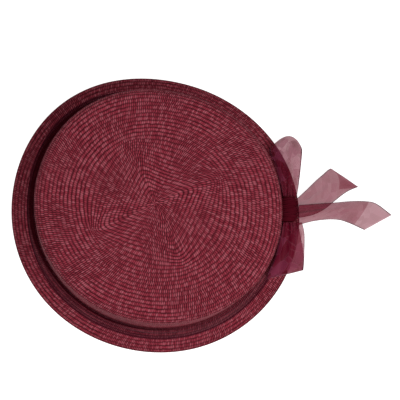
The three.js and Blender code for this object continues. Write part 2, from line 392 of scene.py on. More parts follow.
@dataclass(frozen=True)
class WovenStraw:
    """Dyed paper straw woven in narrow rows: matt wine red, each stitch a small round bead, with painted
    shade in the gap round it.

    The pattern reads the piece's "rows" map: stitches counted along a row, and rows counted outwards. In
    some places the eye follows the rows and in others only the beads, so the two trade strength in patches.

    Attributes:
        gap: Painted shade in the hollow between two rows or two stitches.
        bead: The top of a stitch.
        worn: A stitch that wear has left pale.
        shade: A stitch that has kept more of its dye.
        relief: How far a stitch seems to stand out of its gap, in metres.
        stray_scale: Wobbles to a metre.
        stray: How far the wobble moves the pattern, in stitches and in rows.
        lean: How far a stitch leans along its row from one side to the other, in stitches.
        patch_scale: Soft patches to a metre.
        patch_ends: The noise up to which rows are the stronger, and the noise from which on beads are.
        least_row: How much of their depth the rows keep where the beads are the stronger.
        least_bead: How much of theirs the beads keep where the rows are.
        even_tone: The tone, 0 to 1, of a stitch that is neither pale nor dark.
        worn_share: How far the palest stitch goes to the worn colour.
        shade_share: How far the darkest goes to the shade.
        fade: How much lighter the low brim is painted, as painted light.
        brim_light_ends: The heights up to which the painted light is full, and from which on there is none,
            in metres.
    """

    name: str = "woven_paper_straw"
    gap: str = "#22040a"
    bead: str = "#9a3544"
    worn: str = "#c87d88"
    shade: str = "#3c0b14"
    roughness: float = 0.75
    index: float = 1.14
    relief: float = 0.3 * MM
    relief_strength: float = 0.6
    stray_scale: float = 260.0
    stray: tuple[float, float, float] = (0.8, 0.5, 0.0)
    lean: float = 0.5
    patch_scale: float = 38.0
    patch_ends: tuple[float, float] = (0.36, 0.64)
    least_row: float = 0.5
    least_bead: float = 0.55
    even_tone: float = 0.4
    worn_share: float = 0.34
    shade_share: float = 0.35
    # Painted light: how much lighter the low brim is painted
    fade: float = 1.17
    brim_light_ends: tuple[float, float] = (5 * MM, 14 * MM)

    def material(self) -> bpy.types.Material:
        """Builds the material.

        Returns:
            Straw with round rows, beaded stitches of differing tone and soft patches of colour.
        """
        material, add = new_material(self.name)
        place = add("TexCoord").outputs["Object"]
        # Rows and stitches stray a little from their lines
        wobble = add("TexNoise", {"Vector": place, "Scale": self.stray_scale, "Detail": 1.0})
        shift = add("VectorMath", {0: wobble.outputs["Color"], 1: (0.5, 0.5, 0.5)}, operation="SUBTRACT")
        rows = add("UVMap", uv_map="rows")
        strayed = add("VectorMath", {0: shift, 1: self.stray, 2: rows}, operation="MULTIPLY_ADD")
        split = add("SeparateXYZ", {0: strayed})
        stitch_at, row_at = split.outputs["X"], split.outputs["Y"]
        leaning = add("Math", {0: row_at, 1: self.lean, 2: stitch_at}, operation="MULTIPLY_ADD")
        relief = self.woven_relief(add, place, row_at, leaning)
        # A different tone for each stitch, with a few worn pale and a few left dark
        number = add("Math", {0: leaning}, operation="ROUND")
        row_number = add("Math", {0: row_at}, operation="FLOOR")
        cell = add("CombineXYZ", {0: number, 1: row_number})
        tone = add("TexWhiteNoise", {"Vector": cell}, noise_dimensions="2D")
        worn = add("MapRange", {0: tone, 1: self.even_tone, 2: 1.0, 3: 0.0, 4: self.worn_share})
        worn = add("Math", {0: worn, 1: relief}, operation="MULTIPLY")
        dark = add("MapRange", {0: tone, 1: self.even_tone, 2: 0.0, 3: 0.0, 4: self.shade_share})
        # The gap colour is painted shade in the hollows between rows and stitches; the bead, worn and dark
        # colours are the straw's own tones.
        colour = to_linear(self.gap)
        for share, paint in ((relief, self.bead), (worn, self.worn), (dark, self.shade)):
            colour = add("Mix", {"Factor": share, 6: colour, 7: to_linear(paint)}, data_type="RGBA")
        # Painted light: the low brim is painted a little lighter
        height = add("SeparateXYZ", {0: place}).outputs["Z"]
        low, high = self.brim_light_ends
        brim_light = add("MapRange", {0: height, 1: low, 2: high, 3: self.fade, 4: 1.0})
        colour = add("HueSaturation", {"Value": brim_light, "Color": colour})
        bump = add("Bump", {"Strength": self.relief_strength, "Distance": self.relief, "Height": relief})
        straw = add(
            "BsdfPrincipled",
            {"Base Color": colour, "Roughness": self.roughness, "IOR": self.index, "Normal": bump},
        )
        add("OutputMaterial", {"Surface": straw})
        return material

    def woven_relief(self, add: Adder, place: Socket, row_at: Socket, leaning: Node) -> Node:
        """Works out how high each spot of the weave is.

        Args:
            add: Adds a node to the material.
            place: The spot's place on the piece.
            row_at: The spot's place counted in rows.
            leaning: Its place counted in stitches, each leaning across its row.

        Returns:
            The node that gives the height, 0 in the gaps to 1 on the beads.
        """
        across = add("Math", {0: row_at, 1: math.pi}, operation="MULTIPLY")
        ridge = add("Math", {0: across}, operation="SINE")
        ridge = add("Math", {0: ridge}, operation="ABSOLUTE")
        along = add("Math", {0: leaning, 1: 2.0 * math.pi}, operation="MULTIPLY")
        stitch = add("Math", {0: along}, operation="COSINE")
        stitch = add("Math", {0: stitch, 1: 0.5, 2: 0.5}, operation="MULTIPLY_ADD")
        # The patches where rows or beads are the stronger
        patches = add("TexNoise", {"Vector": place, "Scale": self.patch_scale, "Detail": 2.0})
        patch = add("MapRange", {0: patches, 1: self.patch_ends[0], 2: self.patch_ends[1]})
        lights = []
        for height, first, last in ((ridge, 1.0, self.least_row), (stitch, self.least_bead, 1.0)):
            depth = add("MapRange", {0: patch, 3: first, 4: last})
            dark = add("Math", {0: 1.0, 1: height}, operation="SUBTRACT")
            dark = add("Math", {0: dark, 1: depth}, operation="MULTIPLY")
            lights.append(add("Math", {0: 1.0, 1: dark}, operation="SUBTRACT"))
        return add("Math", {0: lights[0], 1: lights[1]}, operation="MULTIPLY")


@dataclass(frozen=True)
class Organza:
    """Sheer nylon organza: a crisp wine-red net that tints what lies under it, with a painted pale sheen on
    it.

    The pattern reads the piece's "weave" map, in mm along and across the ribbon.

    Attributes:
        passed: What one layer of the net does to the light that goes through it.
        thread: The yarn's colour.
        pale: Painted sheen: the pale colour given to yarn that catches the light, in streaks and along
            creases.
        crest_highlight: Painted highlight on the crests of crumpled cloth.
        selvedge: The denser yarn along both edges.
        painted_shade: Painted shade: the dark colour put on the band near the crown's foot, where the crown's
            shadow and the gap at its foot darken it.
        cover: Share of one layer's surface that is yarn.
        edge_cover: The same on a selvedge.
        painted_shade_cover: The same in the painted shade.
        layers: How many layers lie together.
        end_layers: How many there are past the turn.
        turn: How far along the ribbon the turn is, in mm, at one selvedge, at its bend and at the other.
        bend: How far across the ribbon the turn bends, in mm.
        streaks: Streaks of painted sheen to a mm, along and across.
        streak_ends: The noise where a streak starts, and where it is palest.
        streak_strength: How pale they get.
        creases: How strongly crumpled it is, 0 to 1.
        crumple: Crumpled patches to a mm.
        closer: How much a patch of fully crumpled cloth adds to the cover or takes from it.
        hem_at: How far along the ribbon its hemmed end starts, in mm.
        line_blur: Half the width over which a turn or a hem begins, in mm.
        painted_shade_blur: The same for the edge of the painted shade.
        painted_shade_starts: For bearings in degrees, where the painted shade starts across the ribbon, in
            mm.
        painted_shade_end: Where the painted shade has faded out, in mm across.
        painted_shade_fade: Over how many mm it does.
        painted_shade_round: The ribbon's length once round the crown, in mm.
        selvedge_ends: Where a selvedge starts and where it is full, in its own widths from the ribbon's edge.
        yarns: Bumps of yarn to a mm. Real ones are about 0.35 mm apart: they are drawn coarser, to show.
    """

    name: str = "nylon_organza"
    passed: str = "#ead3d7"
    thread: str = "#6c1028"
    pale: str = "#8a4a5a"
    crest_highlight: str = "#8e3a58"
    selvedge: str = "#3f0f1c"
    painted_shade: str = "#34070f"
    cover: float = 0.45
    edge_cover: float = 0.85
    painted_shade_cover: float = 0.84
    layers: float = 1.0
    end_layers: float = 1.0
    turn: tuple[float, float, float] = (900.0, 900.0, 900.0)
    bend: float = 17.0
    streaks: tuple[float, float] = (0.035, 0.09)
    streak_ends: tuple[float, float] = (0.45, 0.72)
    streak_strength: float = 0.4
    creases: float = 0.0
    crumple: float = 0.14
    closer: float = 0.15
    crest_from: float = 0.55
    crest_strength: float = 0.75
    crease_width: float = 0.05
    crease_strength: float = 0.5
    hem_at: float = 900.0
    line_blur: float = 0.4
    painted_shade_blur: float = 1.0
    painted_shade_starts: tuple[tuple[float, float], ...] = ()
    painted_shade_end: float = 19.0
    painted_shade_fade: float = 7.0
    painted_shade_round: float = 640.0
    width: float = 34.0
    selvedge_width: float = 1.3
    selvedge_ends: tuple[float, float] = (1.4, 0.6)
    yarns: float = 1.6
    yarn_relief: float = 0.2 * MM
    roughness: float = 0.5
    index: float = 1.14

    def covered(self, layers: float) -> float:
        """Share of the surface that is yarn where a number of layers lie together."""
        return 1.0 - (1.0 - self.cover) ** layers

    def tint(self, layers: float) -> tuple[float, ...]:
        """What a number of layers do to the light that goes through them, linear."""
        return (*(part**layers for part in to_linear(self.passed)[:3]), 1.0)

    def material(self) -> bpy.types.Material:
        """Builds the material.

        Returns:
            A see-through cloth with soft streaks of painted sheen along it and a denser line down each
            selvedge.
        """
        material, add = new_material(self.name)
        weave = add("UVMap", uv_map="weave")
        split = add("SeparateXYZ", {0: weave})
        along, across = split.outputs["X"], split.outputs["Y"]
        edge, turned = self.edges(add, along, across), self.turned(add, along, across)
        # Painted sheen: soft pale streaks along the ribbon
        stretched = add("Mapping", {"Vector": weave, "Scale": (*self.streaks, 1.0)})
        streaks = add("TexNoise", {"Vector": stretched, "Scale": 1.0, "Detail": 3.0, "Roughness": 0.55})
        start, end = self.streak_ends
        streak = add("MapRange", {0: streaks, 1: start, 2: end, 3: 0.0, 4: self.streak_strength})
        # Crumpled cloth lies closer in some patches; some crests get a painted highlight, and the thin
        # creases between them a pale painted highlight
        cells = {"Vector": weave, "Scale": self.crumple, "Randomness": 1.0}
        patch = add("SeparateColor", {0: add("TexVoronoi", cells, feature="F1").outputs["Color"]})
        closer = add("MapRange", {0: patch, 3: -self.closer * self.creases, 4: self.closer * self.creases})
        strength = self.crest_strength * self.creases
        crest_highlight = add("MapRange", {0: patch.outputs[1], 1: self.crest_from, 2: 1.0, 3: 0.0, 4: strength})
        sides = add("TexVoronoi", cells, feature="DISTANCE_TO_EDGE")
        strength = self.crease_strength * self.creases
        crease_highlight = add("MapRange", {0: sides, 1: 0.0, 2: self.crease_width, 3: strength, 4: 0.0})
        cover = add("MapRange", {0: turned, 3: self.covered(self.layers), 4: self.covered(self.end_layers)})
        cover = add("Math", {0: cover, 1: closer}, operation="ADD")
        paints = [(streak, self.pale), (edge, self.selvedge), (crest_highlight, self.crest_highlight), (crease_highlight, self.pale)]
        denser = [(edge, self.edge_cover)]
        # Painted shade: the band is painted darker and denser near the crown's foot, most where the crown's
        # shadow falls; deep is its strength
        if self.painted_shade_starts:
            deep = self.painted_shade_strength(add, along, across)
            paints.append((deep, self.painted_shade))
            denser.append((deep, self.painted_shade_cover))
        colour = to_linear(self.thread)
        for share, paint in paints:
            colour = add("Mix", {"Factor": share, 6: colour, 7: to_linear(paint)}, data_type="RGBA")
        for share, most in denser:
            held = add("Math", {0: share, 1: most}, operation="MULTIPLY")
            cover = add("Math", {0: cover, 1: held}, operation="MAXIMUM")
        yarns = add("TexNoise", {"Vector": weave, "Scale": self.yarns, "Detail": 1.0})
        bump = add("Bump", {"Strength": 0.2, "Distance": self.yarn_relief, "Height": yarns})
        cloth = add(
            "BsdfPrincipled",
            {"Base Color": colour, "Roughness": self.roughness, "IOR": self.index, "Normal": bump},
        )
        tints = {6: self.tint(self.layers), 7: self.tint(self.end_layers)}
        tint = add("Mix", {"Factor": turned, **tints}, data_type="RGBA")
        through = add("BsdfTransparent", {"Color": tint})
        add("OutputMaterial", {"Surface": add("MixShader", {0: cover, 1: through, 2: cloth})})
        return material

    def edges(self, add: Adder, along: Socket, across: Socket) -> Node:
        """Finds the two selvedges and the hemmed end.

        Args:
            add: Adds a node to the material.
            along: Place along the ribbon, in mm.
            across: Place across it, in mm.

        Returns:
            The node that is 1 on them and 0 elsewhere.
        """
        away = add("Math", {0: across, 1: self.width / 2}, operation="SUBTRACT")
        away = add("Math", {0: away}, operation="ABSOLUTE")
        inner, outer = (self.width / 2 - share * self.selvedge_width for share in self.selvedge_ends)
        edge = add("MapRange", {0: away, 1: inner, 2: outer})
        hem = add("MapRange", {0: along, 1: self.hem_at - self.line_blur, 2: self.hem_at + self.line_blur})
        return add("Math", {0: edge, 1: hem}, operation="MAXIMUM")

    def turned(self, add: Adder, along: Socket, across: Socket) -> Node:
        """Finds the stretch past the turn, whose start is two straight lines that meet at the bend.

        Args:
            add: Adds a node to the material.
            along: Place along the ribbon, in mm.
            across: Place across it, in mm.

        Returns:
            The node that is 1 past the turn and 0 before it.
        """
        first, bent, last = self.turn
        halves = ((0.0, self.bend, first, bent), (self.bend, self.width, bent, last))
        lines = [
            add("MapRange", {0: across, 1: low, 2: high, 3: start, 4: end}, clamp=False)
            for low, high, start, end in halves
        ]
        line = add("Math", {0: lines[0], 1: lines[1]}, operation="MAXIMUM")
        past = add("Math", {0: along, 1: line}, operation="SUBTRACT")
        return add("MapRange", {0: past, 1: -self.line_blur, 2: self.line_blur})

    def painted_shade_strength(self, add: Adder, along: Socket, across: Socket) -> Node:
        """Works out how strong the painted shade is at each place of the ribbon.

        Args:
            add: Adds a node to the material.
            along: Place along the ribbon, in mm.
            across: Place across it, in mm.

        Returns:
            The node that gives its strength, 0 to 1.
        """
        full_circle = 360.0
        round_share = add("Math", {0: along, 1: self.painted_shade_round}, operation="DIVIDE")
        start = add("FloatCurve", {"Value": round_share})
        curve = start.mapping.curves[0]
        rows = [(bearing / full_circle, mm / self.width) for bearing, mm in self.painted_shade_starts]
        curve.points[0].location, curve.points[-1].location = rows[0], rows[-1]
        for row in rows[1:-1]:
            curve.points.new(*row)
        start.mapping.update()
        begins = add("Math", {0: start, 1: self.width}, operation="MULTIPLY")
        inside = add("Math", {0: across, 1: begins}, operation="SUBTRACT")
        entered = add("MapRange", {0: inside, 1: -self.painted_shade_blur, 2: self.painted_shade_blur})
        left = add(
            "MapRange",
            {0: across, 1: self.painted_shade_end - self.painted_shade_fade, 2: self.painted_shade_end, 3: 1.0, 4: 0.0},
            interpolation_type="SMOOTHSTEP",
        )
        return add("Math", {0: entered, 1: left}, operation="MULTIPLY")


@dataclass
class StrawBody:
    """The crown and brim, woven in one piece from the middle and pressed on the form.

    Attributes:
        form: The form, in mm.
        finish: Its straw.
        row_count: Rows of weave from the middle to the brim's edge.
        rings_per_row: Rings of faces across one row.
        turns: Faces round a ring.
        rim_steps: Rings round the brim's edge.
        inner_rings: Rings on the inside.
        ridge: How deep the gap between two rows is, in mm.
        stitch: Length of one stitch, in mm.
        fewest_stitches: How many the smallest row has.
        weave_middle: Where the weave starts, from the crown's axis, in mm.
        sides: Bearings that the four sides of the first, nearly square rows face, in degrees.
        corner_power: How sharp their corners are.
        square_share: Share of the crown's reach up to which they stay nearly square.
        round_share: Share of the crown's reach where the rows have become round.
    """

    form: HatForm
    finish: WovenStraw = field(default_factory=WovenStraw)
    row_count: int = 70
    rings_per_row: int = 4
    turns: int = 180
    rim_steps: int = 3
    inner_rings: int = 44
    ridge: float = 0.4
    stitch: float = 1.45
    fewest_stitches: int = 4
    weave_middle: tuple[float, float] = (-2.6, 1.6)
    sides: tuple[float, ...] = (70.0, 155.0, 252.0, 336.0)
    corner_power: float = 12.0
    square_share: float = 0.34
    round_share: float = 0.62

    def build(self) -> bpy.types.Object:
        """Builds and dresses the body.

        Returns:
            The straw body, in place of its CAD node.
        """
        places, rows = self.rings()
        body = self.spun_disc(len(places))
        ring, turn = self.ring_and_turn(body)
        self.lay_rows(body, ring, turn, places, rows)
        move_points(body.data, places[ring, turn])
        self.close(body)
        body.data.materials.append(self.finish.material())
        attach(body, "root")
        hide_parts("hat_body")
        return body

    def spun_disc(self, ring_total: int) -> bpy.types.Object:
        """Spins a straight line of points into a flat disc, one ring for each point.

        Args:
            ring_total: How many points the line has.

        Returns:
            The disc, with ring number n at n mm from its middle.
        """
        start_primitive()
        bpy.ops.mesh.primitive_grid_add(
            x_subdivisions=ring_total - 1, y_subdivisions=1, size=1.0, calc_uvs=False
        )
        disc = bpy.context.object
        disc.name = disc.data.name = "straw_body"
        line = points_of(disc.data)
        line[:, 0] = np.round((line[:, 0] + 0.5) * (ring_total - 1)) * MM
        line[:, 1] = 0.0
        move_points(disc.data, line)
        bpy.ops.object.mode_set(mode="EDIT")
        bpy.ops.mesh.select_all(action="SELECT")
        bpy.ops.mesh.remove_doubles(threshold=0.1 * MM)
        bpy.ops.mesh.select_all(action="SELECT")
        middle, upwards = (0.0, 0.0, 0.0), (0.0, 0.0, 1.0)
        bpy.ops.mesh.spin(steps=self.turns, angle=2.0 * math.pi, center=middle, axis=upwards)
        bpy.ops.mesh.select_all(action="SELECT")
        bpy.ops.mesh.remove_doubles(threshold=0.003 * MM)
        bpy.ops.object.mode_set(mode="OBJECT")
        return disc

    def ring_and_turn(self, disc: bpy.types.Object) -> tuple[Array, Array]:
        """The ring number and the step round it for each point of the flat disc.

        Args:
            disc: The disc.

        Returns:
            Two arrays of whole numbers.
        """
        flat = points_of(disc.data)
        ring = np.round(np.hypot(flat[:, 0], flat[:, 1]) / MM).astype(int)
        angle = np.degrees(np.arctan2(flat[:, 1], flat[:, 0])) % 360.0
        turn = np.round(angle / 360.0 * self.turns).astype(int) % self.turns
        return ring, turn

    def rings(self) -> tuple[Array, Array]:
        """Every ring's points, outside, round the rim and inside, and the row of weave that each is on.

        Returns:
            Points by ring and step in metres, and the row number of each ring.
        """
        bearings = np.arange(self.turns) * 360.0 / self.turns
        skin = self.form.profile()
        counts = np.arange(self.row_count * self.rings_per_row + 1) / self.rings_per_row
        outer, rim, inner = self.outer_rows(skin, counts), self.rim_rows(), self.inner_rows(skin)
        rim_counts = self.row_count + np.arange(1, len(rim) + 1) / len(rim)
        inner_counts = self.row_count + 1 + np.linspace(0.0, self.row_count, self.inner_rings)
        points = np.stack([self.pressed(row, bearings) for row in np.concatenate([outer, rim, inner])])
        return self.form.placed(points), np.concatenate([counts, rim_counts, inner_counts])

    def outer_rows(self, skin: Array, counts: Array) -> Array:
        """The rings on the outside, with a gap pressed in between two rows of weave.

        Args:
            skin: The form's profile.
            counts: The row number of each ring.

        Returns:
            Rows of half length, half width and height.
        """
        run = run_along(skin[:, :2].mean(axis=1), skin[:, 2])
        outer = rows_at(skin, run, run[-1] * counts / self.row_count)
        dip = -self.ridge * (1.0 - np.sqrt(np.abs(np.sin(np.pi * counts))))
        dip[0] = 0.0
        outer = outer + (self.form.lifted(outer, 1.0) - outer) * dip[:, None]
        outer[-1] = [*(np.array(self.form.brim) - 0.5 * self.form.wall), self.form.wall]
        return outer

    def rim_rows(self) -> Array:
        """The rings round the brim's edge, a half circle as thick as the wall.

        Returns:
            Rows of half length, half width and height.
        """
        half = 0.5 * self.form.wall
        brim = np.array(self.form.brim)
        turns = np.linspace(0.0, math.pi, self.rim_steps + 2)[1:-1]
        return np.array([[*(brim - half + half * math.sin(t)), half + half * math.cos(t)] for t in turns])

    def inner_rows(self, skin: Array) -> Array:
        """The rings on the inside, from under the brim's edge back to the middle of the crown.

        Args:
            skin: The form's profile.

        Returns:
            Rows of half length, half width and height.
        """
        back = self.form.lifted(skin, -self.form.wall)[-2::-1]
        back[0, 2] = 0.0
        run = run_along(back[:, 0], back[:, 2])
        inner = rows_at(back, run, run[-1] * np.linspace(0.0, 1.0, self.inner_rings))
        inner[:, 2] = np.maximum(inner[:, 2], 0.0)
        inner[-1, :2] = 0.0
        return inner

    def pressed(self, row: Array, bearings: Array) -> Array:
        """One ring of the body: nearly square at the weave's middle, and oval from there out.

        Args:
            row: The ring's half length, half width and height.
            bearings: Directions, in degrees.

        Returns:
            Its points, in mm from the crown's axis.
        """
        points = self.form.ring(row, bearings)
        share = 0.5 * (row[0] + row[1]) / (0.5 * sum(self.form.top))
        if share >= 1.0 or row[2] < self.form.wall_top - self.form.edge_round:
            return points
        facing = np.radians(bearings[:, None] - np.array(self.sides)[None, :])
        sides = (np.maximum(np.cos(facing), 0.0) ** self.corner_power).sum(axis=1)
        square = sides ** (-1.0 / self.corner_power)
        square /= square.mean()
        past = (share - self.square_share) / (self.round_share - self.square_share)
        shape = 1.0 + (1.0 - smooth_step(np.array(past))) * (square - 1.0)
        points[:, :2] = points[:, :2] * shape[:, None] + np.array(self.weave_middle) * (1.0 - share)
        return points

    def lay_rows(self, body: bpy.types.Object, ring: Array, turn: Array, places: Array, rows: Array) -> None:
        """Writes the "rows" map: stitches counted along each row, and rows counted outwards.

        Args:
            body: The body, still flat.
            ring: Ring number of each point.
            turn: Step round the ring of each point.
            places: Points by ring and step.
            rows: Row number of each ring.
        """
        mesh = body.data
        corner = corner_points(mesh)
        start = np.zeros(len(mesh.polygons), np.int32)
        mesh.polygons.foreach_get("loop_start", start)
        face = np.repeat(np.arange(len(start)), np.diff(np.append(start, len(corner))))
        corner_ring, corner_turn = ring[corner], turn[corner].astype(float)
        low = np.minimum.reduceat(corner_ring, start)[face]
        far = np.maximum.reduceat(corner_turn, start)[face]
        corner_turn[(far == self.turns - 1) & (corner_turn == 0)] = self.turns
        lengths = np.linalg.norm(np.roll(places, -1, axis=1) - places, axis=2).sum(axis=1) / MM
        row = np.floor(rows[low] + 1e-6).astype(int)
        middle = np.clip(np.searchsorted(rows, row + 0.5), 0, len(rows) - 1)
        stitches = np.maximum(np.round(lengths[middle] / self.stitch), self.fewest_stitches)
        skip = np.random.default_rng(7).random(row.max() + 1)[row]
        along = corner_turn / self.turns * stitches + skip
        add_map(mesh, "rows", np.stack([along, rows[corner_ring]], axis=1))

    def close(self, body: bpy.types.Object) -> None:
        """Closes the inside's middle, turns the faces outwards and smooths the shading.

        Args:
            body: The body.
        """
        start_primitive()
        body.select_set(True)
        bpy.context.view_layer.objects.active = body
        bpy.ops.object.mode_set(mode="EDIT")
        bpy.ops.mesh.select_all(action="SELECT")
        bpy.ops.mesh.remove_doubles(threshold=0.01 * MM)
        bpy.ops.mesh.select_all(action="SELECT")
        bpy.ops.mesh.normals_make_consistent(inside=False)
        bpy.ops.object.mode_set(mode="OBJECT")
        bpy.ops.object.shade_smooth()


@dataclass
class Ribbon:
    """A length of organza ribbon, cut from a strip of one width.

    Attributes:
        name: The piece's name.
        node: The CAD node that it replaces.
        place: Gives points, in mm from the crown's axis, for places along and across from 0 to 1.
        length: Its cut length, in mm.
        held: How it is held. Not used.
        rests_on: What it lies on. Not used.
        finish: Its cloth.
        flat_share: Share of its length times its width that a slanting cut leaves. Not used.
        lowest: How far its lowest points stay clear of the surface, in mm.
    """

    name: str
    node: str
    place: Place
    length: float
    held: Held
    rests_on: tuple[str, ...]
    finish: Organza
    width: float = 34.0
    steps_along: int = 160
    steps_across: int = 40
    flat_share: float = 1.0
    lowest: float = 0.3

    def build(self, form: HatForm) -> bpy.types.Object:
        """Args:
            form: The form that places are measured from.

        Returns:
            The ribbon, in place of its CAD node.
        """
        start_primitive()
        bpy.ops.mesh.primitive_grid_add(
            x_subdivisions=self.steps_along, y_subdivisions=self.steps_across, size=2.0, calc_uvs=False
        )
        piece = bpy.context.object
        piece.name = piece.data.name = self.name
        flat = points_of(piece.data)
        along, across = 0.5 * (flat[:, 0] + 1.0), 0.5 * (flat[:, 1] + 1.0)
        points = form.placed(self.place(along, across))
        points[:, 2] = np.maximum(points[:, 2], self.lowest * MM)
        move_points(piece.data, points)
        corner = corner_points(piece.data)
        weave = np.stack([along[corner] * self.length, across[corner] * self.width], axis=1)
        add_map(piece.data, "weave", weave)
        bpy.ops.object.shade_smooth()
        piece.data.materials.append(self.finish.material())
        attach(piece, "root")
        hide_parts(self.node)
        return piece


@dataclass
class Bow:
    """The ribbon round the crown and its bow, in mm from the crown's axis.

    The tables hold shares, as the CAD's do: out and side in ribbon widths or loop lengths, and rise in knot
    heights. Each loop's lower layer stands out a little further than in the CAD, since the photo shows it.
    """

    form: HatForm
    width: float = 34.0
    gap: float = 0.35
    thickness: float = 1.0
    # Cut lengths of the ribbon's stretches, and what the tails' slanting cuts leave of theirs
    band_cut: float = 640.0
    knot_cut: float = 48.0
    upper_loop_cut: float = 105.0
    lower_loop_cut: float = 94.0
    upper_tail_cut: float = 65.0
    lower_tail_cut: float = 90.0
    upper_tail_share: float = 0.84
    lower_tail_share: float = 0.79
    # The band: how far in from the brim's edge it starts, where its lower edge is drawn in or out, how far
    # it stands off the straw in its ripples, and how close those are
    band_margin: float = 12.0
    band_draws: tuple[Swell, ...] = (Swell(Edge.BRIM, 176, 1.8, 26), Swell(Edge.BRIM, 132, -3.2, 26))
    band_ripple: float = 0.7
    ripples_round: float = 9.0
    ripples_across: float = 3.2
    knot_height: float = 22.0
    knot_side: float = 2.8
    knot_depth: float = 16.0
    knot_length: float = 20.0
    knot_tallness: float = 18.0
    knot_pinch: float = 0.36
    pleat_depth: float = 0.09
    # The knot's pleats: depth, folds across, how far they sway, how often in a turn, and from where
    knot_pleats: Table = (
        (0.5, 7.0, 2.2, 1.0, 1.0),
        (0.2, 12.0, -1.4, 2.0, 0.0),
        (0.4, 24.0, 1.0, 3.0, 0.0),
    )
    upper_length: float = 51.0
    lower_length: float = 46.0
    upper_reach: float = 71.6
    lower_reach: float = 99.6
    bulge_lean: float = 0.75
    # Crinkles: how high they are in mm, and how many coarse and fine ones go to a mm
    loop_crinkle: float = 0.9
    loop_grain: tuple[float, float] = (0.11, 0.27)
    tail_crinkle: float = 0.7
    tail_grain: tuple[float, float] = (0.1, 0.25)
    loop_arch: float = 4.5
    upper_arch: float = 5.0
    lower_arch: float = 8.0
    gather_count: float = 5.0
    gather_depth: float = 0.9
    loop_gathers: float = 0.22
    tail_gathers: float = 0.35
    # The band's painted shade near the crown's foot: bearing in degrees, and where it starts across the
    # ribbon in mm
    painted_shade_starts: tuple[tuple[float, float], ...] = (
        (0, 8.0), (40, 6.0), (90, 3.0), (120, 1.6), (150, 1.2), (180, 1.4), (210, 6.3), (225, 7.4),
        (240, 7.6), (270, 9.2), (300, 13.0), (330, 13.0), (360, 8.0),
    )
    # Loops: out at the outer and inner selvedge, side at the outer and inner, rise, bulge, pleat
    upper_loop: Table = (
        (0.44, 0.1, 0.0, 0.0, 1.2, 0.0, 0.035),
        (0.49, 0.04, 0.2, 0.2, 1.26, 0.0, 0.03),
        (0.555, -0.05, 0.5, 0.5, 1.17, 0.03, 0.02),
        (0.61, -0.16, 0.73, 0.68, 0.95, 0.22, 0.01),
        (0.615, -0.19, 0.79, 0.77, 0.74, 0.305, 0.0),
        (0.645, -0.14, 0.73, 0.68, 0.56, 0.22, 0.01),
        (0.61, -0.02, 0.5, 0.5, 0.57, 0.03, 0.02),
        (0.54, 0.09, 0.2, 0.2, 0.71, 0.0, 0.03),
        (0.48, 0.14, 0.0, 0.0, 0.8, 0.0, 0.035),
    )
    lower_loop: Table = (
        (0.56, 0.1, 0.0, 0.0, 1.2, 0.0, 0.035),
        (0.615, 0.04, 0.2, 0.2, 1.24, 0.0, 0.03),
        (0.62, -0.06, 0.54, 0.56, 1.14, 0.0, 0.02),
        (0.63, -0.24, 0.79, 0.92, 0.86, 0.0, 0.01),
        (0.633, -0.27, 0.84, 1.0, 0.7, 0.0, 0.0),
        (0.665, -0.2, 0.79, 0.92, 0.57, 0.0, 0.01),
        (0.66, 0.0, 0.54, 0.56, 0.59, 0.0, 0.02),
        (0.57, 0.1, 0.2, 0.2, 0.72, 0.0, 0.03),
        (0.5, 0.14, 0.0, 0.0, 0.8, 0.0, 0.035),
    )
    # Tails: out at the left and right selvedge, side at the left and right, rise at each, pleat
    upper_tail: Table = (
        (0.0, 0.0, 0.28, -0.2, 0.88, 0.84, 0.03),
        (0.155, 0.24, 0.5, -0.12, 0.74, 0.64, 0.028),
        (0.31, 0.44, 0.73, 0.03, 0.56, 0.46, 0.02),
        (0.435, 0.63, 0.9, 0.265, 0.42, 0.33, 0.012),
        (0.516, 0.82, 1.01, 0.482, 0.3, 0.18, 0.006),
        (0.567, 1.0, 1.052, 0.606, 0.2, 0.07, 0.0),
    )
    lower_tail: Table = (
        (0.0, 0.0, 0.1, -0.38, 1.18, 1.08, 0.03),
        (0.2, 0.15, 0.15, -0.28, 0.92, 0.88, 0.028),
        (0.4, 0.33, 0.195, -0.22, 0.66, 0.6, 0.02),
        (0.56, 0.46, 0.238, -0.23, 0.44, 0.4, 0.012),
        (0.72, 0.56, 0.247, -0.3, 0.28, 0.26, 0.008),
        (0.84, 0.64, 0.19, -0.38, 0.16, 0.15, 0.004),
        (1.0, 0.717, -0.088, -0.462, 0.07, 0.07, 0.0),
    )

    def __post_init__(self) -> None:
        """Works out where the band's face, the knot's face and the knot's end are."""
        self.band_face = self.form.wall_reach(self.knot_height) + 2 * self.gap + self.thickness
        self.knot_face = self.band_face + self.gap + self.knot_depth
        self.knot_end = self.knot_length / 2 + self.gap + self.thickness / 2

    def pleats(self, across: Array) -> Array:
        """A wave of folds across the ribbon, level at both selvedges."""
        return np.cos(5.0 * np.pi * (across - 0.5)) * np.sin(np.pi * across)

    def crinkles(self, points: Array, grain: tuple[float, float], seed: float) -> Array:
        """Coarse crinkles with fine ones half as high on them.

        Args:
            points: The ribbon's points, in mm.
            grain: Coarse and fine ones to a mm.
            seed: The part of the noise that they come from.

        Returns:
            A height for each point, about -1.5 to 1.5.
        """
        coarse, fine = grain
        return wrinkle_at(points * coarse, seed) + 0.5 * wrinkle_at(points * fine, seed + 5.0)

    def gathers(self, away: Array, across: Array, fade_share: float) -> Array:
        """Fine folds that the knot pinches into the ribbon, dying out with the distance from it.

        Args:
            away: How far along from the knot, as a share of the ribbon's length.
            across: Places across the ribbon.
            fade_share: Share of the ribbon's length where they have died out.

        Returns:
            How far each point is pushed square to the ribbon, in mm.
        """
        fade = 1.0 - smooth_step(away / fade_share)
        turned = 2.0 * np.pi * self.gather_count * across
        folds = 0.65 * np.sin(turned + 3.0 * across**2) + 0.35 * np.sin(1.7 * turned + 1.0)
        return self.gather_depth * fade * folds

